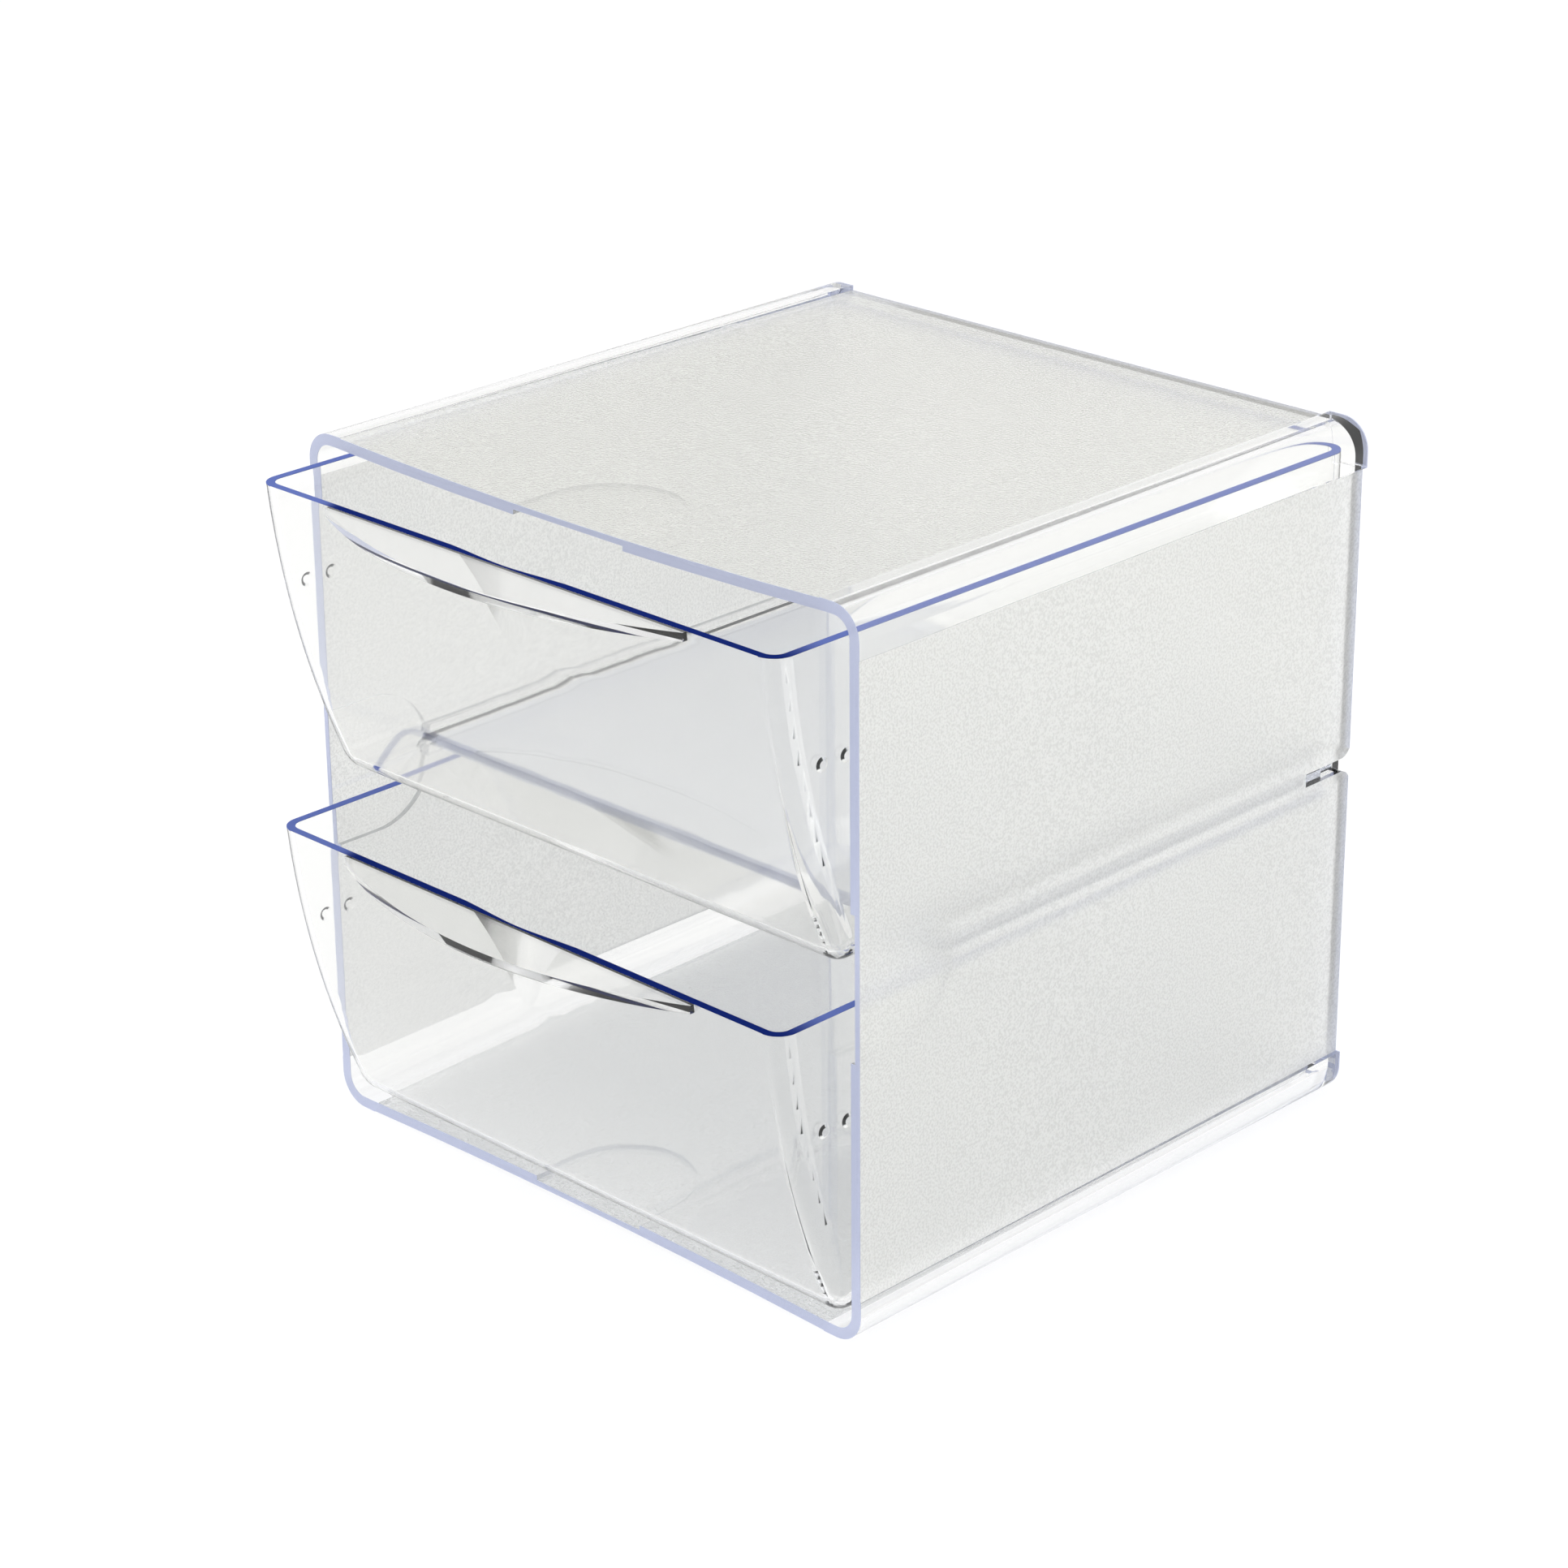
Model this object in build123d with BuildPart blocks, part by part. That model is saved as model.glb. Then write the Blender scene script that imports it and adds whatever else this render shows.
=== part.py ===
from build123d import *
import math
import os

# Clear moulded storage cube with two pull-out bins for craft stamps.
# Millimetres, +Z up, front towards -Y. The origin lies on the floor, under the middle of the object.

os.makedirs("parts", exist_ok=True)

# Casing
casing_width = 152.4
casing_height = 150.2
casing_depth = 148.0
casing_corner = 6.4       # outer radius of the four long corners
casing_wall = 2.35
back_inset = 0.5          # the rails stand this far behind the back wall
back_wall = 2.1
panel_sink = 0.1          # panels start this far below the rails' faces
side_lean = 0.9           # how far a side panel leans in, front to back
top_lean = 0.93           # the same for the top and bottom panels
top_bow = 1.58            # sag of the top panel's front edge at its middle
bottom_bow = 1.2          # rise of the bottom panel's front edge at its middle
rail_leg = 9.8            # reach of a corner rail along each face it covers
rail_rounding = 0.4

# Finger reliefs thinned into the inner faces at the middle of each front edge
relief_width = 30.5
relief_reach = 26.0
relief_depth = 1.1

# Shelf, the channel that it slides in, and the slots that its tabs snap into
shelf_bottom = 74.8
shelf_thickness = 2.7
shelf_start = 24.5        # shelf's front edge, behind the casing's front edge
shelf_end = 145.2
shelf_half_front = 73.4
shelf_half_rear = 72.5
channel_height = 3.0
guide_height = 2.4
guide_reach = 71.3        # the guide ribs' inner edges, from the middle plane
slot_start = 133.1
slot_mouth = 3.0          # rounding at the slot's open rear end
slot_mouth_reach = 2.7    # from the centre of that rounding to the back wall's face
tab_start = 133.4
tab_length = 4.7
tab_reach = 75.1

# Drawers
drawer_height = 66.2
drawer_half_width = 72.0
drawer_rim_front = 17.0   # in front of the casing's front edge
drawer_rim_rear = 145.0   # behind it
drawer_wall = 1.8
drawer_rear_lean = 0.8    # from the rim to the floor
drawer_corner = 4.5
drawer_floor_corner = 6.0
front_radius = 203.4      # curve of the drawer's front, seen from the side
front_centre_rise = 19.15  # its centre stands this far above the rim
lower_drawer_base = 3.85
drawer_pitch = 74.0

# Pull lip, scallop and side bumps of a drawer
pull_reach = 12.3         # beyond the rim's front
pull_half_width = 49.8
pull_end_step = 1.0       # blunt step where the lip meets the wall
pull_thickness = 1.75
scallop_half_width = 20.0
scallop_depth = 1.15
scallop_height = 17.0     # where it has faded into the inner face
scallop_run_out = 0.12    # its outline starts this far inside the hollow, for a soft edge
bump_radius = 1.5
bump_proud = 0.35
bump_slope = 60.0         # degrees from straight out
bump_drop = 23.0          # below the rim
bump_places = (-5.3, 1.0)  # behind the casing's front edge

front_y = (drawer_rim_front + pull_reach - casing_depth) / 2
rail_half_gap = casing_width / 2 - rail_leg
bow_half = rail_half_gap + 1.5  # the bow ends inside the rails
cut_margin = 1.0


def section_plane(depth):
    """Upright plane facing the front, so far behind the casing's front edge."""
    return Plane.XZ.offset(-front_y - depth)


def panel_section(depth, inset):
    """Outline of the four panels at a depth: their faces lean in and their bow fades to the rear."""
    share = depth / casing_depth
    half = casing_width / 2 - side_lean * share - inset
    low = top_lean * share + inset
    high = casing_height - top_lean * share - inset
    corner = casing_corner - inset
    bow_share = 1 - 0.95 * share
    with BuildSketch(section_plane(depth)) as outline:
        with BuildLine():
            Line((-half, low + corner), (-half, high - corner))
            RadiusArc((-half, high - corner), (corner - half, high), corner)
            Line((corner - half, high), (-bow_half, high))
            ThreePointArc((-bow_half, high), (0, high - top_bow * bow_share), (bow_half, high))
            Line((bow_half, high), (half - corner, high))
            RadiusArc((half - corner, high), (half, high - corner), corner)
            Line((half, high - corner), (half, low + corner))
            RadiusArc((half, low + corner), (half - corner, low), corner)
            Line((half - corner, low), (bow_half, low))
            ThreePointArc((bow_half, low), (0, low + bottom_bow * bow_share), (-bow_half, low))
            Line((-bow_half, low), (corner - half, low))
            RadiusArc((corner - half, low), (-half, low + corner), corner)
        make_face()
    return outline.sketch


# Corner rails: straight angle-shaped runs over the four long corners, standing proud at the rear
with BuildPart() as rails:
    with BuildSketch(section_plane(0)):
        with Locations((0, casing_height / 2)):
            RectangleRounded(casing_width, casing_height, casing_corner)
            Rectangle(2 * rail_half_gap, casing_height, mode=Mode.SUBTRACT)
            Rectangle(casing_width, casing_height - 2 * rail_leg, mode=Mode.SUBTRACT)
    extrude(amount=-casing_depth)
    fillet(rails.edges().group_by(Axis.Y)[-1], rail_rounding)

# Slots through both side walls, open at the rear with a rounded mouth; the back wall stays whole
with BuildPart() as slots:
    slot_rear = front_y + casing_depth - back_inset
    slot_middle = shelf_bottom + channel_height / 2
    slot_length = slot_rear + cut_margin - front_y - slot_start
    mouth_height = channel_height + 2 * slot_mouth
    with BuildSketch(Plane.YZ.offset(shelf_half_rear)):
        with Locations((slot_rear + (cut_margin - slot_mouth_reach) / 2, slot_middle)):
            Rectangle(slot_mouth_reach + cut_margin, mouth_height)
        with Locations((slot_rear - slot_mouth_reach, slot_middle)):
            with GridLocations(0, mouth_height, 1, 2):
                Circle(slot_mouth, mode=Mode.SUBTRACT)
        with Locations((front_y + slot_start + slot_length / 2, slot_middle)):
            Rectangle(slot_length, channel_height)
    extrude(amount=casing_width / 2 - shelf_half_rear + cut_margin)
    mirror(about=Plane.YZ)

# Casing: leaning panels with bowed front edges, joined to the rails and hollowed from the front
cavity_depth = casing_depth - back_inset - back_wall
with BuildPart() as casing:
    back_face = casing_depth - back_inset
    loft([panel_section(0, panel_sink), panel_section(back_face, panel_sink)], ruled=True)
    add(rails.part)
    loft(
        [panel_section(-cut_margin, casing_wall), panel_section(cavity_depth, casing_wall)],
        ruled=True,
        mode=Mode.SUBTRACT,
    )

    # Half-round reliefs in the inner faces of the top and the bottom
    relief_round = relief_width / 2
    relief_straight = relief_reach - relief_round
    relief_floor = casing_wall - relief_depth
    for level in (relief_floor + bottom_bow, casing_height / 2):
        with BuildSketch(Plane.XY.offset(level)):
            with Locations((0, front_y + relief_straight / 2 - cut_margin / 2)):
                Rectangle(relief_width, relief_straight + cut_margin)
            with Locations((0, front_y + relief_straight)):
                Circle(relief_round)
        extrude(amount=casing_height / 2 - relief_floor - top_bow, mode=Mode.SUBTRACT)

    # The same reliefs in the two sides
    side_relief = casing_width - 2 * relief_floor
    with BuildSketch(Plane.YZ.offset(-side_relief / 2)):
        with Locations((front_y + relief_straight / 2 - cut_margin / 2, casing_height / 2)):
            Rectangle(relief_straight + cut_margin, relief_width)
        with Locations((front_y + relief_straight, casing_height / 2)):
            Circle(relief_round)
    extrude(amount=side_relief, mode=Mode.SUBTRACT)

    add(slots.part, mode=Mode.SUBTRACT)

    # Guide ribs above and below the shelf, along both sides
    guide_length = cavity_depth - shelf_start
    guide_root = casing_width / 2 - side_lean - casing_wall / 2
    guide_width = guide_root - guide_reach
    for bottom in (shelf_bottom - guide_height, shelf_bottom + channel_height):
        with BuildSketch(Plane.XY.offset(bottom)):
            with Locations((0, front_y + shelf_start + guide_length / 2)):
                with GridLocations(guide_reach + guide_root, 0, 2, 1):
                    Rectangle(guide_width, guide_length)
        extrude(amount=guide_height)

casing.part.label = "casing"
export_step(casing.part, "parts/casing.step")


# Shelf: a flat plate that narrows to the rear, with a snap tab on each side
with BuildPart() as shelf:
    with BuildSketch(Plane.XY.offset(shelf_bottom)):
        with BuildLine():
            Polyline(
                (-shelf_half_front, front_y + shelf_start),
                (shelf_half_front, front_y + shelf_start),
                (shelf_half_rear, front_y + shelf_end),
                (-shelf_half_rear, front_y + shelf_end),
                close=True,
            )
        make_face()
        with Locations((0, front_y + tab_start + tab_length / 2)):
            Rectangle(2 * tab_reach, tab_length)
    extrude(amount=shelf_thickness)
    fillet(shelf.edges().filter_by(Axis.X).group_by(Axis.Y)[0], shelf_thickness / 4)

shelf.part.label = "shelf"
export_step(shelf.part, "parts/shelf.step")


def drawer_form(base, inset):
    """Closed tub shape: its curved front, leaning rear and rounded corners, inset for the hollow."""
    rim = base + drawer_height
    top = rim + (cut_margin if inset else 0)
    floor = base + inset
    centre_z = rim + front_centre_rise
    centre_y = front_y - drawer_rim_front + math.sqrt(front_radius**2 - front_centre_rise**2)
    radius = front_radius - inset

    def front_at(height):
        return centre_y - math.sqrt(radius**2 - (centre_z - height) ** 2)

    def rear_at(height):
        return front_y + drawer_rim_rear - drawer_rear_lean * (rim - height) / drawer_height - inset

    middle = (top + floor) / 2
    with BuildPart() as form:
        with BuildSketch(Plane.YZ):
            with BuildLine():
                ThreePointArc(
                    (front_at(top), top),
                    (front_at(middle), middle),
                    (front_at(floor), floor),
                )
                Polyline(
                    (front_at(floor), floor),
                    (rear_at(floor), floor),
                    (rear_at(top), top),
                    (front_at(top), top),
                )
            make_face()
        extrude(amount=drawer_half_width - inset, both=True)
        fillet(form.edges().group_by(Axis.Z)[0], drawer_floor_corner - inset)
        uprights = [e for e in form.edges() if e.bounding_box().size.Z > drawer_height / 2]
        fillet(uprights, drawer_corner - inset)
    return form.part


def make_drawer(base, name):
    """One bin: tub, hollow, crescent pull flush with the rim, finger scallop and side bumps."""
    rim = base + drawer_height
    rim_y = front_y - drawer_rim_front
    tub = drawer_form(base, 0)
    hollow = drawer_form(base, drawer_wall)
    with BuildPart() as drawer:
        add(tub)

        # Low sloping bumps on both sides, by the casing's mouth
        for side in (-1, 1):
            with BuildSketch(Plane.YZ.offset(side * drawer_half_width)):
                with Locations([(front_y + place, rim - bump_drop) for place in bump_places]):
                    Circle(bump_radius)
            extrude(amount=side * bump_proud, taper=bump_slope)

        add(hollow, mode=Mode.SUBTRACT)

        # Crescent pull with blunt ends
        with BuildSketch(Plane.XY.offset(rim - pull_thickness)):
            with BuildLine():
                ThreePointArc(
                    (-pull_half_width, rim_y - pull_end_step),
                    (0, rim_y - pull_reach),
                    (pull_half_width, rim_y - pull_end_step),
                )
                Polyline(
                    (pull_half_width, rim_y - pull_end_step),
                    (pull_half_width, rim_y + drawer_wall),
                    (-pull_half_width, rim_y + drawer_wall),
                    (-pull_half_width, rim_y - pull_end_step),
                )
            make_face()
        extrude(amount=pull_thickness)

        # Soft scallop behind the pull, fading down the inside of the front
        inner_y = rim_y + drawer_wall
        follow = (math.sqrt(front_radius**2 - front_centre_rise**2)
                  - math.sqrt(front_radius**2 - (front_centre_rise + scallop_height) ** 2))
        slope = (follow + scallop_depth) / scallop_height
        edge_y = inner_y + scallop_run_out
        with BuildSketch(Plane.XY.offset(rim)):
            with BuildLine():
                Spline(
                    (-scallop_half_width, edge_y),
                    (0, inner_y - scallop_depth),
                    (scallop_half_width, edge_y),
                    tangents=[(1, 0), (1, 0)],
                )
                Polyline(
                    (scallop_half_width, edge_y),
                    (scallop_half_width, edge_y + drawer_wall),
                    (-scallop_half_width, edge_y + drawer_wall),
                    (-scallop_half_width, edge_y),
                )
            make_face()
        extrude(amount=scallop_height + cut_margin, dir=(0, slope, -1), mode=Mode.SUBTRACT)

    drawer.part.label = name
    export_step(drawer.part, "parts/" + name + ".step")


make_drawer(lower_drawer_base, "lower_drawer")
make_drawer(lower_drawer_base + drawer_pitch, "upper_drawer")
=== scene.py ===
import math

import bpy
from mathutils import Matrix, Vector


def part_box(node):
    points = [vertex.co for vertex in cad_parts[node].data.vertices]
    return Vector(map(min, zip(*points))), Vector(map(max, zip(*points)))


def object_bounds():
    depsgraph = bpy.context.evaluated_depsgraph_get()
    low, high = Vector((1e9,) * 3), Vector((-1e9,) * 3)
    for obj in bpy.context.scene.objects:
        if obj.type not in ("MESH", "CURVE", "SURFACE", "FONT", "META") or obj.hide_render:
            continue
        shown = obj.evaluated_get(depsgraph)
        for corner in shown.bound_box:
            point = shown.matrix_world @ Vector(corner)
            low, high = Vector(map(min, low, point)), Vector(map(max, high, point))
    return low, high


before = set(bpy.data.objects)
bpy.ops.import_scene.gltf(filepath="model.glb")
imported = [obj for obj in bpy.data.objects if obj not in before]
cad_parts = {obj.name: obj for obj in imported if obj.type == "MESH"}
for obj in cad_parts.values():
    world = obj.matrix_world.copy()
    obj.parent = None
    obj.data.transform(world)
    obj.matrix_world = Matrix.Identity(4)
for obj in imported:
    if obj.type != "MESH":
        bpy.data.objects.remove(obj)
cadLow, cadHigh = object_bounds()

mm = 0.001
print("stage: frame loaded")


def linearColour(hexCode):
    channels = [int(hexCode[i:i + 2], 16) / 255 for i in (1, 3, 5)]
    return [c / 12.92 if c <= 0.04045 else ((c + 0.055) / 1.055) ** 2.4 for c in channels] + [1.0]


def addNode(tree, kind, settings, links):
    node = tree.nodes.new(kind)
    for name, value in settings.items():
        setattr(node, name, value)
    for name, source in links.items():      # another node's output, a colour's hex code or a number
        if isinstance(source, bpy.types.NodeSocket):
            tree.links.new(source, node.inputs[name])
        elif isinstance(source, str):
            node.inputs[name].default_value = linearColour(source)
        else:
            node.inputs[name].default_value = source
    return node


def emptyTree(holder):
    holder.use_nodes = True
    holder.node_tree.nodes.clear()
    return holder.node_tree


def maskZones(tree, *zones):
    # 1 inside any of the zones, else 0; a zone is its (place, lowest, highest) limits, None where it is open
    mask = 0.0
    for zone in zones:
        inside = 1.0
        for place, lowest, highest in zone:
            for operation, limit in (("GREATER_THAN", lowest), ("LESS_THAN", highest)):
                if limit is not None:
                    test = addNode(tree, "ShaderNodeMath", {"operation": operation}, {0: place, 1: limit})
                    inside = addNode(tree, "ShaderNodeMath", {"operation": "MULTIPLY"}, {
                        0: inside, 1: test.outputs[0]}).outputs[0]
        mask = addNode(tree, "ShaderNodeMath", {"operation": "MAXIMUM"}, {0: mask, 1: inside}).outputs[0]
    return mask


mixSockets = {"RGBA": (6, 7, 2), "FLOAT": (2, 3, 0)}     # a Mix node's two inputs and output for each type


def coverLayers(tree, dataType, surface, *layers):
    # each (mask, value) covers what is under it where its mask is 1
    under, over, result = mixSockets[dataType]
    for mask, value in layers:
        surface = addNode(tree, "ShaderNodeMix", {"data_type": dataType}, {
            0: mask, under: surface, over: value}).outputs[result]
    return surface


# Polystyrene, injection moulded: clear as glass, faintly blue in long paths through the wall
clearPlastic = {
    "ior": 1.59,
    "edgeTint": "#8C9CD8",
    "tintPerMetre": 1.5,
    "shadowTint": "#F4F5F8",
    "rimRoughness": 0.3,     # of the opaque diffuse colour painted on a rim as its gathered light
}


def startPlastic(name):
    material = bpy.data.materials.new(name)
    tree = emptyTree(material)
    place = addNode(tree, "ShaderNodeTexCoord", {}, {}).outputs["Object"]
    axes = addNode(tree, "ShaderNodeSeparateXYZ", {}, {0: place}).outputs
    across = addNode(tree, "ShaderNodeMath", {"operation": "ABSOLUTE"}, {0: axes["X"]}).outputs[0]
    return material, tree, place, axes, across


def finishPlastic(tree, surface, height, depth, rim=None):
    bump = addNode(tree, "ShaderNodeBump", {}, {"Strength": 1.0, "Distance": depth, "Height": height})
    shader = addNode(tree, "ShaderNodeBsdfPrincipled", {}, {
        "IOR": clearPlastic["ior"], "Normal": bump.outputs[0], **surface})
    # a rim given as mask and colour is painted light: an opaque diffuse colour in place of the light the
    # wall gathers
    if rim:
        rimMask, rimColour = rim
        paintedRimShader = addNode(tree, "ShaderNodeBsdfDiffuse", {}, {
            "Color": rimColour, "Roughness": clearPlastic["rimRoughness"]})
        shader = addNode(tree, "ShaderNodeMixShader", {}, {
            0: rimMask, 1: shader.outputs[0], 2: paintedRimShader.outputs[0]})
    lightPath = addNode(tree, "ShaderNodeLightPath", {}, {})
    shadow = addNode(tree, "ShaderNodeBsdfTransparent", {}, {"Color": clearPlastic["shadowTint"]})
    mix = addNode(tree, "ShaderNodeMixShader", {}, {
        0: lightPath.outputs["Is Shadow Ray"], 1: shader.outputs[0], 2: shadow.outputs[0]})
    absorb = addNode(tree, "ShaderNodeVolumeAbsorption", {}, {
        "Color": clearPlastic["edgeTint"], "Density": clearPlastic["tintPerMetre"]})
    addNode(tree, "ShaderNodeOutputMaterial", {}, {"Surface": mix.outputs[0], "Volume": absorb.outputs[0]})


# Drawers: polished all over, so they reflect sharply; the light gathered in the rim is painted as an opaque
# colour, navy at the front and paler slate further back
drawer = {
    "body": "#FDFDFC",
    "rimFront": "#101F5C",
    "rimSide": "#55639C",
    "rimDepth": 0.1 * mm,         # faces this near the rim's level take the painted rim light
    "rimFadeStart": 1.8 * mm,     # back from the front's outer face: the painted rim light turns paler between these
    "rimFadeEnd": 14.4 * mm,
    "leftFadeStart": 48.0 * mm,   # left from the middle: the front rim's painted light turns paler between these
    "leftFadeEnd": 53.0 * mm,
    "pullReach": 12.3 * mm,
    "roughness": 0.03,
    "flowWave": 18.0 * mm,        # between slow waves of the moulded wall
    "flowDepth": 0.06 * mm,
    "flowDetail": 1.0,
}


def drawerPlastic():
    material, tree, place, axes, across = startPlastic("polystyrene moulded polished")
    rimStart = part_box("upper_drawer")[0].y + drawer["pullReach"]
    levels = [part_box(name)[1].z for name in ("lower_drawer", "upper_drawer")]
    onPaintedRimLight = maskZones(tree, *[
        [(axes["Z"], level - drawer["rimDepth"], level + drawer["rimDepth"]), (axes["Y"], rimStart, None)]
        for level in levels])
    behind = addNode(tree, "ShaderNodeMapRange", {"interpolation_type": "SMOOTHSTEP"}, {
        "Value": axes["Y"],
        "From Min": rimStart + drawer["rimFadeStart"], "From Max": rimStart + drawer["rimFadeEnd"]})
    beside = addNode(tree, "ShaderNodeMapRange", {"interpolation_type": "SMOOTHSTEP"}, {
        "Value": across, "From Min": drawer["leftFadeStart"], "From Max": drawer["leftFadeEnd"]})
    besideLeft = addNode(tree, "ShaderNodeMath", {"operation": "MULTIPLY"}, {
        0: maskZones(tree, [(axes["X"], None, 0.0)]), 1: beside.outputs[0]})
    pale = addNode(tree, "ShaderNodeMath", {"operation": "MAXIMUM"}, {
        0: behind.outputs[0], 1: besideLeft.outputs[0]})
    # painted rim light: navy at the front, turning to slate further back and at the front's left end
    rimColour = coverLayers(tree, "RGBA", drawer["rimFront"], (pale.outputs[0], drawer["rimSide"]))
    wave = addNode(tree, "ShaderNodeTexNoise", {}, {
        "Vector": place, "Scale": 1 / drawer["flowWave"], "Detail": drawer["flowDetail"]})
    surface = {
        "Base Color": drawer["body"],
        "Roughness": drawer["roughness"],
        "Transmission Weight": 1.0,
    }
    finishPlastic(tree, surface, wave.outputs[0], drawer["flowDepth"], (onPaintedRimLight, rimColour))
    return material


# Casing: frosted, pebbled panels between clear rails; the light gathered in the front rim and the rear edges
# is painted as a nearly opaque lilac colour
casing = {
    "body": "#FDFDFC",
    # painted shade in the pebbles' hollows and painted light on their crowns
    "pebbleHollowPaintedShade": "#E8E8E3",
    "pebbleCrownPaintedLight": "#FFFFFA",
    "flatPanelPaintedShade": "#E2E2E1",        # painted shade over the pebble colour of the top and bottom panels, making them greyer than the sides
    # painted light gathered in the front rim and the rear edges
    "rim": "#B2B8D0",
    "rimDepth": 0.1 * mm,
    "rearDepth": 0.6 * mm,        # rail ends and back face, which take the painted rim light
    "edgeBand": 3.3 * mm,         # a wall and its lean
    "rimClearness": 0.08,
    "rimRoughness": 0.3,
    "pebbleClearness": 0.7,
    "sideRoughness": 0.6,
    "flatRoughness": 0.26,        # top and bottom panels
    "railRoughness": 0.04,
    "grain": 0.5 * mm,            # half of one pebble's width
    "grainDepth": 0.1 * mm,
    "grainDetail": 1.5,
    "hollowTo": 0.35,             # the noise that the painted shade in a pebble's hollow and the painted light on its crown start from
    "crownFrom": 0.62,
    "leanRoom": 1.1 * mm,         # a side panel's outer face lies within this of the casing's side
    "bowRoom": 2.1 * mm,          # and the top and bottom panels' within this
    "railLeg": 9.8 * mm,
}


def casingPlastic():
    material, tree, place, axes, across = startPlastic("polystyrene moulded pebbled")
    low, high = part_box("casing")
    height = axes["Z"]
    band, leg = casing["edgeBand"], casing["railLeg"]
    sideZone = [(across, high.x - casing["leanRoom"], None), (height, low.z + leg, high.z - leg)]
    topZone = [(across, None, high.x - leg), (height, high.z - casing["bowRoom"], None)]
    bottomZone = [(across, None, high.x - leg), (height, None, low.z + casing["bowRoom"])]
    atRear = (axes["Y"], high.y - casing["rearDepth"], None)
    sidePanels = maskZones(tree, sideZone)
    flatPanels = maskZones(tree, topZone, bottomZone)
    pebbled = maskZones(tree, sideZone, topZone, bottomZone)
    # the front rim and the rear edges, where the gathered light is painted
    onPaintedRimLight = maskZones(
        tree,
        [(axes["Y"], None, low.y + casing["rimDepth"])],
        [atRear, (across, high.x - band, None)],
        [atRear, (height, high.z - band, None)],
        [atRear, (height, None, low.z + band)])
    grain = addNode(tree, "ShaderNodeTexNoise", {}, {
        "Vector": place, "Scale": 1 / casing["grain"], "Detail": casing["grainDetail"]}).outputs[0]
    crown = addNode(tree, "ShaderNodeMapRange", {"interpolation_type": "SMOOTHSTEP"}, {
        "Value": grain, "From Min": casing["hollowTo"], "From Max": casing["crownFrom"]})
    # painted shade and light on the pebbles, from the same noise that raises their bumps
    pebblePaintedShading = coverLayers(tree, "RGBA", casing["pebbleHollowPaintedShade"], (crown.outputs[0], casing["pebbleCrownPaintedLight"]))
    # the top and bottom panels greyed by painted shade
    panelPaintedShading = addNode(tree, "ShaderNodeMix", {"data_type": "RGBA", "blend_type": "MULTIPLY"}, {
        0: flatPanels, 6: pebblePaintedShading, 7: casing["flatPanelPaintedShade"]})
    relief = addNode(tree, "ShaderNodeMath", {"operation": "MULTIPLY"}, {0: grain, 1: pebbled})
    surface = {
        "Base Color": coverLayers(
            tree, "RGBA", casing["body"], (pebbled, panelPaintedShading.outputs[2]), (onPaintedRimLight, casing["rim"])),
        "Roughness": coverLayers(
            tree, "FLOAT", casing["railRoughness"], (flatPanels, casing["flatRoughness"]),
            (onPaintedRimLight, casing["rimRoughness"]), (sidePanels, casing["sideRoughness"])),
        "Transmission Weight": coverLayers(
            tree, "FLOAT", 1.0, (pebbled, casing["pebbleClearness"]), (onPaintedRimLight, casing["rimClearness"])),
    }
    finishPlastic(tree, surface, relief.outputs[0], casing["grainDepth"])
    return material


# Shelf: finely textured, so it is slightly milky, with clear margins at the sides and a front edge painted
# grey-lilac as the light gathered there
shelf = {
    "body": "#FDFDFC",
    "textured": "#F6F6F4",
    # painted light gathered in the front edge
    "front": "#C8CCDC",
    "margin": 6.4 * mm,
    "frontDepth": 0.8 * mm,
    "texturedClearness": 0.85,
    "texturedRoughness": 0.3,
    "roughness": 0.05,
    "grain": 0.5 * mm,            # half of one bump's width
    "grainDepth": 0.05 * mm,
    "grainDetail": 1.5,
}


def shelfPlastic():
    material, tree, place, axes, across = startPlastic("polystyrene moulded fine texture")
    low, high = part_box("shelf")
    textured = maskZones(tree, [(across, None, high.x - shelf["margin"])])
    onPaintedFrontLight = maskZones(tree, [(axes["Y"], None, low.y + shelf["frontDepth"])])
    grain = addNode(tree, "ShaderNodeTexNoise", {}, {
        "Vector": place, "Scale": 1 / shelf["grain"], "Detail": shelf["grainDetail"]})
    relief = addNode(tree, "ShaderNodeMath", {"operation": "MULTIPLY"}, {0: grain.outputs[0], 1: textured})
    surface = {
        "Base Color": coverLayers(
            tree, "RGBA", shelf["body"], (textured, shelf["textured"]), (onPaintedFrontLight, shelf["front"])),
        "Roughness": coverLayers(
            tree, "FLOAT", shelf["roughness"], (textured, shelf["texturedRoughness"])),
        "Transmission Weight": coverLayers(tree, "FLOAT", 1.0, (textured, shelf["texturedClearness"])),
    }
    finishPlastic(tree, surface, relief.outputs[0], shelf["grainDepth"])
    return material


drawerFinish = drawerPlastic()
finishes = {
    "casing": casingPlastic(),
    "shelf": shelfPlastic(),
    "upper_drawer": drawerFinish,
    "lower_drawer": drawerFinish,
}
for nodeName, finish in finishes.items():
    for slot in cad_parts[nodeName].material_slots:
        slot.material = finish
print("stage: finishes")


# Studio floor: white paper, mostly self-lit where it is seen straight, through the plastic or mirrored
paper = {
    "size": 12.0,
    "colour": "#F4F4F4",
    "glow": 0.8,                  # self-lit share of what is seen; the rest shows the shadow
}


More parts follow.
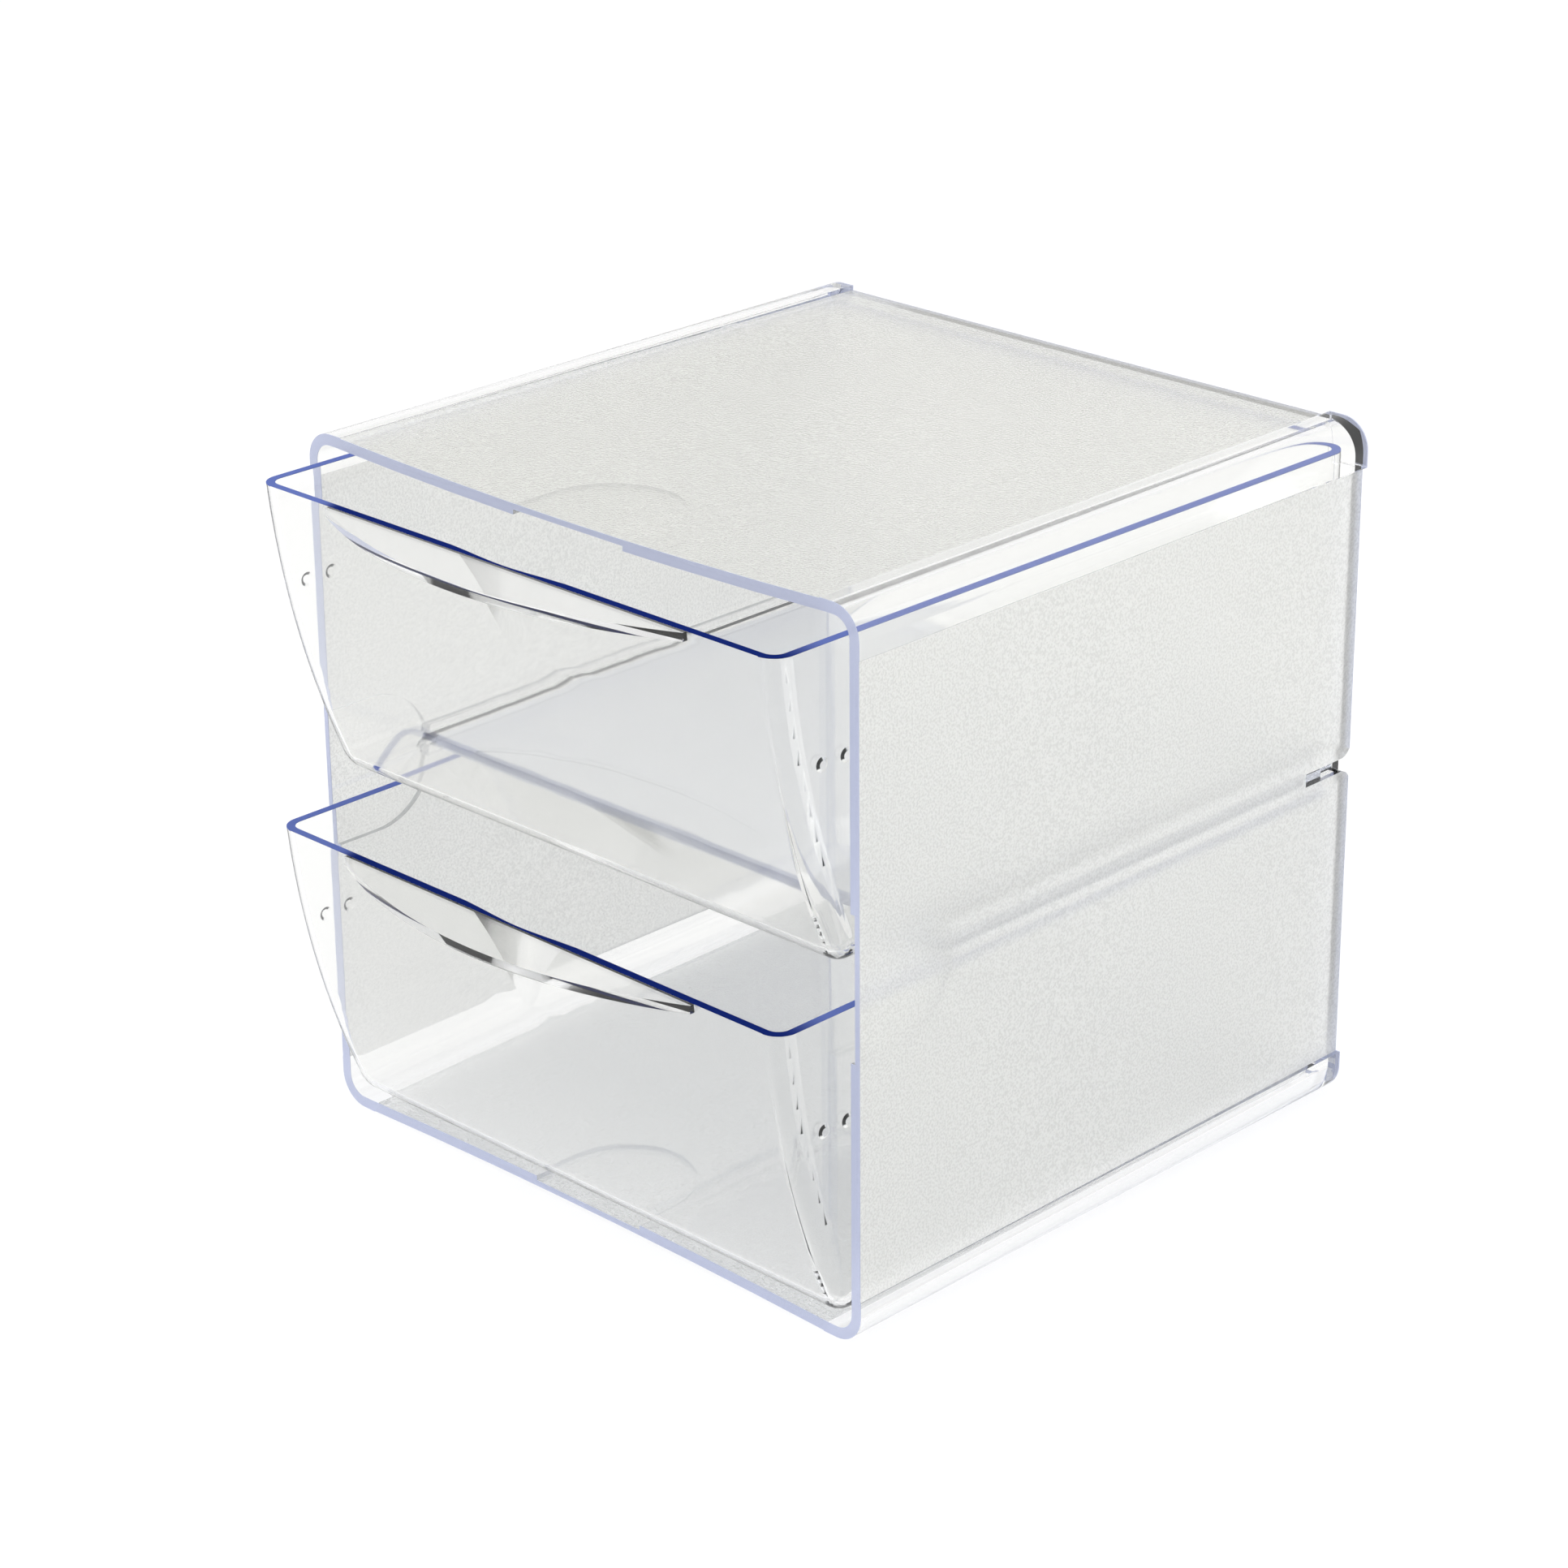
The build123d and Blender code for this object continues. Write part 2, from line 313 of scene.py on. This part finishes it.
def studioFloor():
    bpy.ops.mesh.primitive_plane_add(size=paper["size"])
    floor = bpy.context.object
    floor.name = "studioFloor"
    material = bpy.data.materials.new("studio floor paper")
    tree = emptyTree(material)
    matt = addNode(tree, "ShaderNodeBsdfDiffuse", {}, {"Color": paper["colour"]}).outputs[0]
    white = addNode(tree, "ShaderNodeEmission", {}, {"Color": "#FFFFFF", "Strength": 1.0}).outputs[0]
    glowing = addNode(tree, "ShaderNodeMixShader", {}, {0: paper["glow"], 1: matt, 2: white}).outputs[0]
    path = addNode(tree, "ShaderNodeLightPath", {}, {}).outputs
    seen = path["Is Camera Ray"]
    for ray in ("Is Transmission Ray", "Is Glossy Ray"):
        seen = addNode(tree, "ShaderNodeMath", {"operation": "MAXIMUM"}, {0: seen, 1: path[ray]}).outputs[0]
    mix = addNode(tree, "ShaderNodeMixShader", {}, {0: seen, 1: matt, 2: glowing})
    addNode(tree, "ShaderNodeOutputMaterial", {}, {"Surface": mix.outputs[0]})
    floor.data.materials.append(material)
    return floor


studioFloor()


# Studio air: bright behind the object and darker behind the camera, so that the plastic has edges
air = {
    "behindObject": 1.0,
    "behindCamera": 0.8,
    "cameraSide": (0.62, -0.66, 0.42),
    "darkFrom": 0.5,              # cosine of the angle from cameraSide where the air starts to darken
    "darkTo": 0.85,
}


def studioAir():
    world = bpy.data.worlds.new("studio air")
    tree = emptyTree(world)
    direction = addNode(tree, "ShaderNodeTexCoord", {}, {}).outputs["Generated"]
    facing = addNode(tree, "ShaderNodeVectorMath", {"operation": "DOT_PRODUCT"}, {
        0: direction, 1: air["cameraSide"]})
    strength = addNode(tree, "ShaderNodeMapRange", {"interpolation_type": "SMOOTHSTEP"}, {
        "Value": facing.outputs["Value"], "From Min": air["darkFrom"], "From Max": air["darkTo"],
        "To Min": air["behindObject"], "To Max": air["behindCamera"]})
    shaded = addNode(tree, "ShaderNodeBackground", {}, {"Color": "#FFFFFF", "Strength": strength.outputs[0]})
    plain = addNode(tree, "ShaderNodeBackground", {}, {"Color": "#FFFFFF", "Strength": 1.0})
    path = addNode(tree, "ShaderNodeLightPath", {}, {})
    mix = addNode(tree, "ShaderNodeMixShader", {}, {
        0: path.outputs["Is Camera Ray"], 1: shaded.outputs[0], 2: plain.outputs[0]})
    addNode(tree, "ShaderNodeOutputWorld", {}, {"Surface": mix.outputs[0]})
    bpy.context.scene.world = world


studioAir()

# Lamps: one large and soft overhead, one from the front left
lamps = {
    "overhead": {"place": (0.2, -0.1, 1.6), "size": 1.4, "power": 16.0},
    "frontLeft": {"place": (-1.3, -1.4, 1.1), "size": 1.0, "power": 11.0},
}
middle = Vector((0, 0, (cadLow.z + cadHigh.z) / 2))
for lampName, values in lamps.items():
    light = bpy.data.lights.new(lampName, "AREA")
    light.shape = "SQUARE"
    light.size = values["size"]
    light.energy = values["power"]
    lamp = bpy.data.objects.new(lampName, light)
    lamp.location = values["place"]
    lamp.rotation_mode = "QUATERNION"
    lamp.rotation_quaternion = (lamp.location - middle).to_track_quat("Z", "Y")
    bpy.context.scene.collection.objects.link(lamp)
print("stage: studio")


# Camera at the photograph's viewing angle: metres, degrees from +Y and down, lens and sensor in mm
cameraView = {
    "place": (0.56037, -0.56634, 0.41273),
    "azimuth": -44.789,
    "elevation": 22.875,
    "roll": -0.563,
    "lens": 97.09,
    "sensorWidth": 36.0,
}


def photoCamera():
    azimuth, elevation, roll = (math.radians(cameraView[name]) for name in ("azimuth", "elevation", "roll"))
    data = bpy.data.cameras.new("photoCamera")
    data.lens = cameraView["lens"]
    data.sensor_width = cameraView["sensorWidth"]
    camera = bpy.data.objects.new("photoCamera", data)
    camera.matrix_world = (
        Matrix.Translation(cameraView["place"])
        @ Matrix.Rotation(-azimuth, 4, "Z")
        @ Matrix.Rotation(math.pi / 2 - elevation, 4, "X")
        @ Matrix.Rotation(roll, 4, "Z"))
    bpy.context.scene.collection.objects.link(camera)
    return camera


scene = bpy.context.scene
scene.camera = photoCamera()
print("stage: camera")

# Light has to pass through many walls of clear plastic
bounces = {
    "max_bounces": 24,
    "transmission_bounces": 24,
    "glossy_bounces": 12,
    "transparent_max_bounces": 24,
}
for name, count in bounces.items():
    setattr(scene.cycles, name, count)
scene.view_settings.view_transform = "Standard"
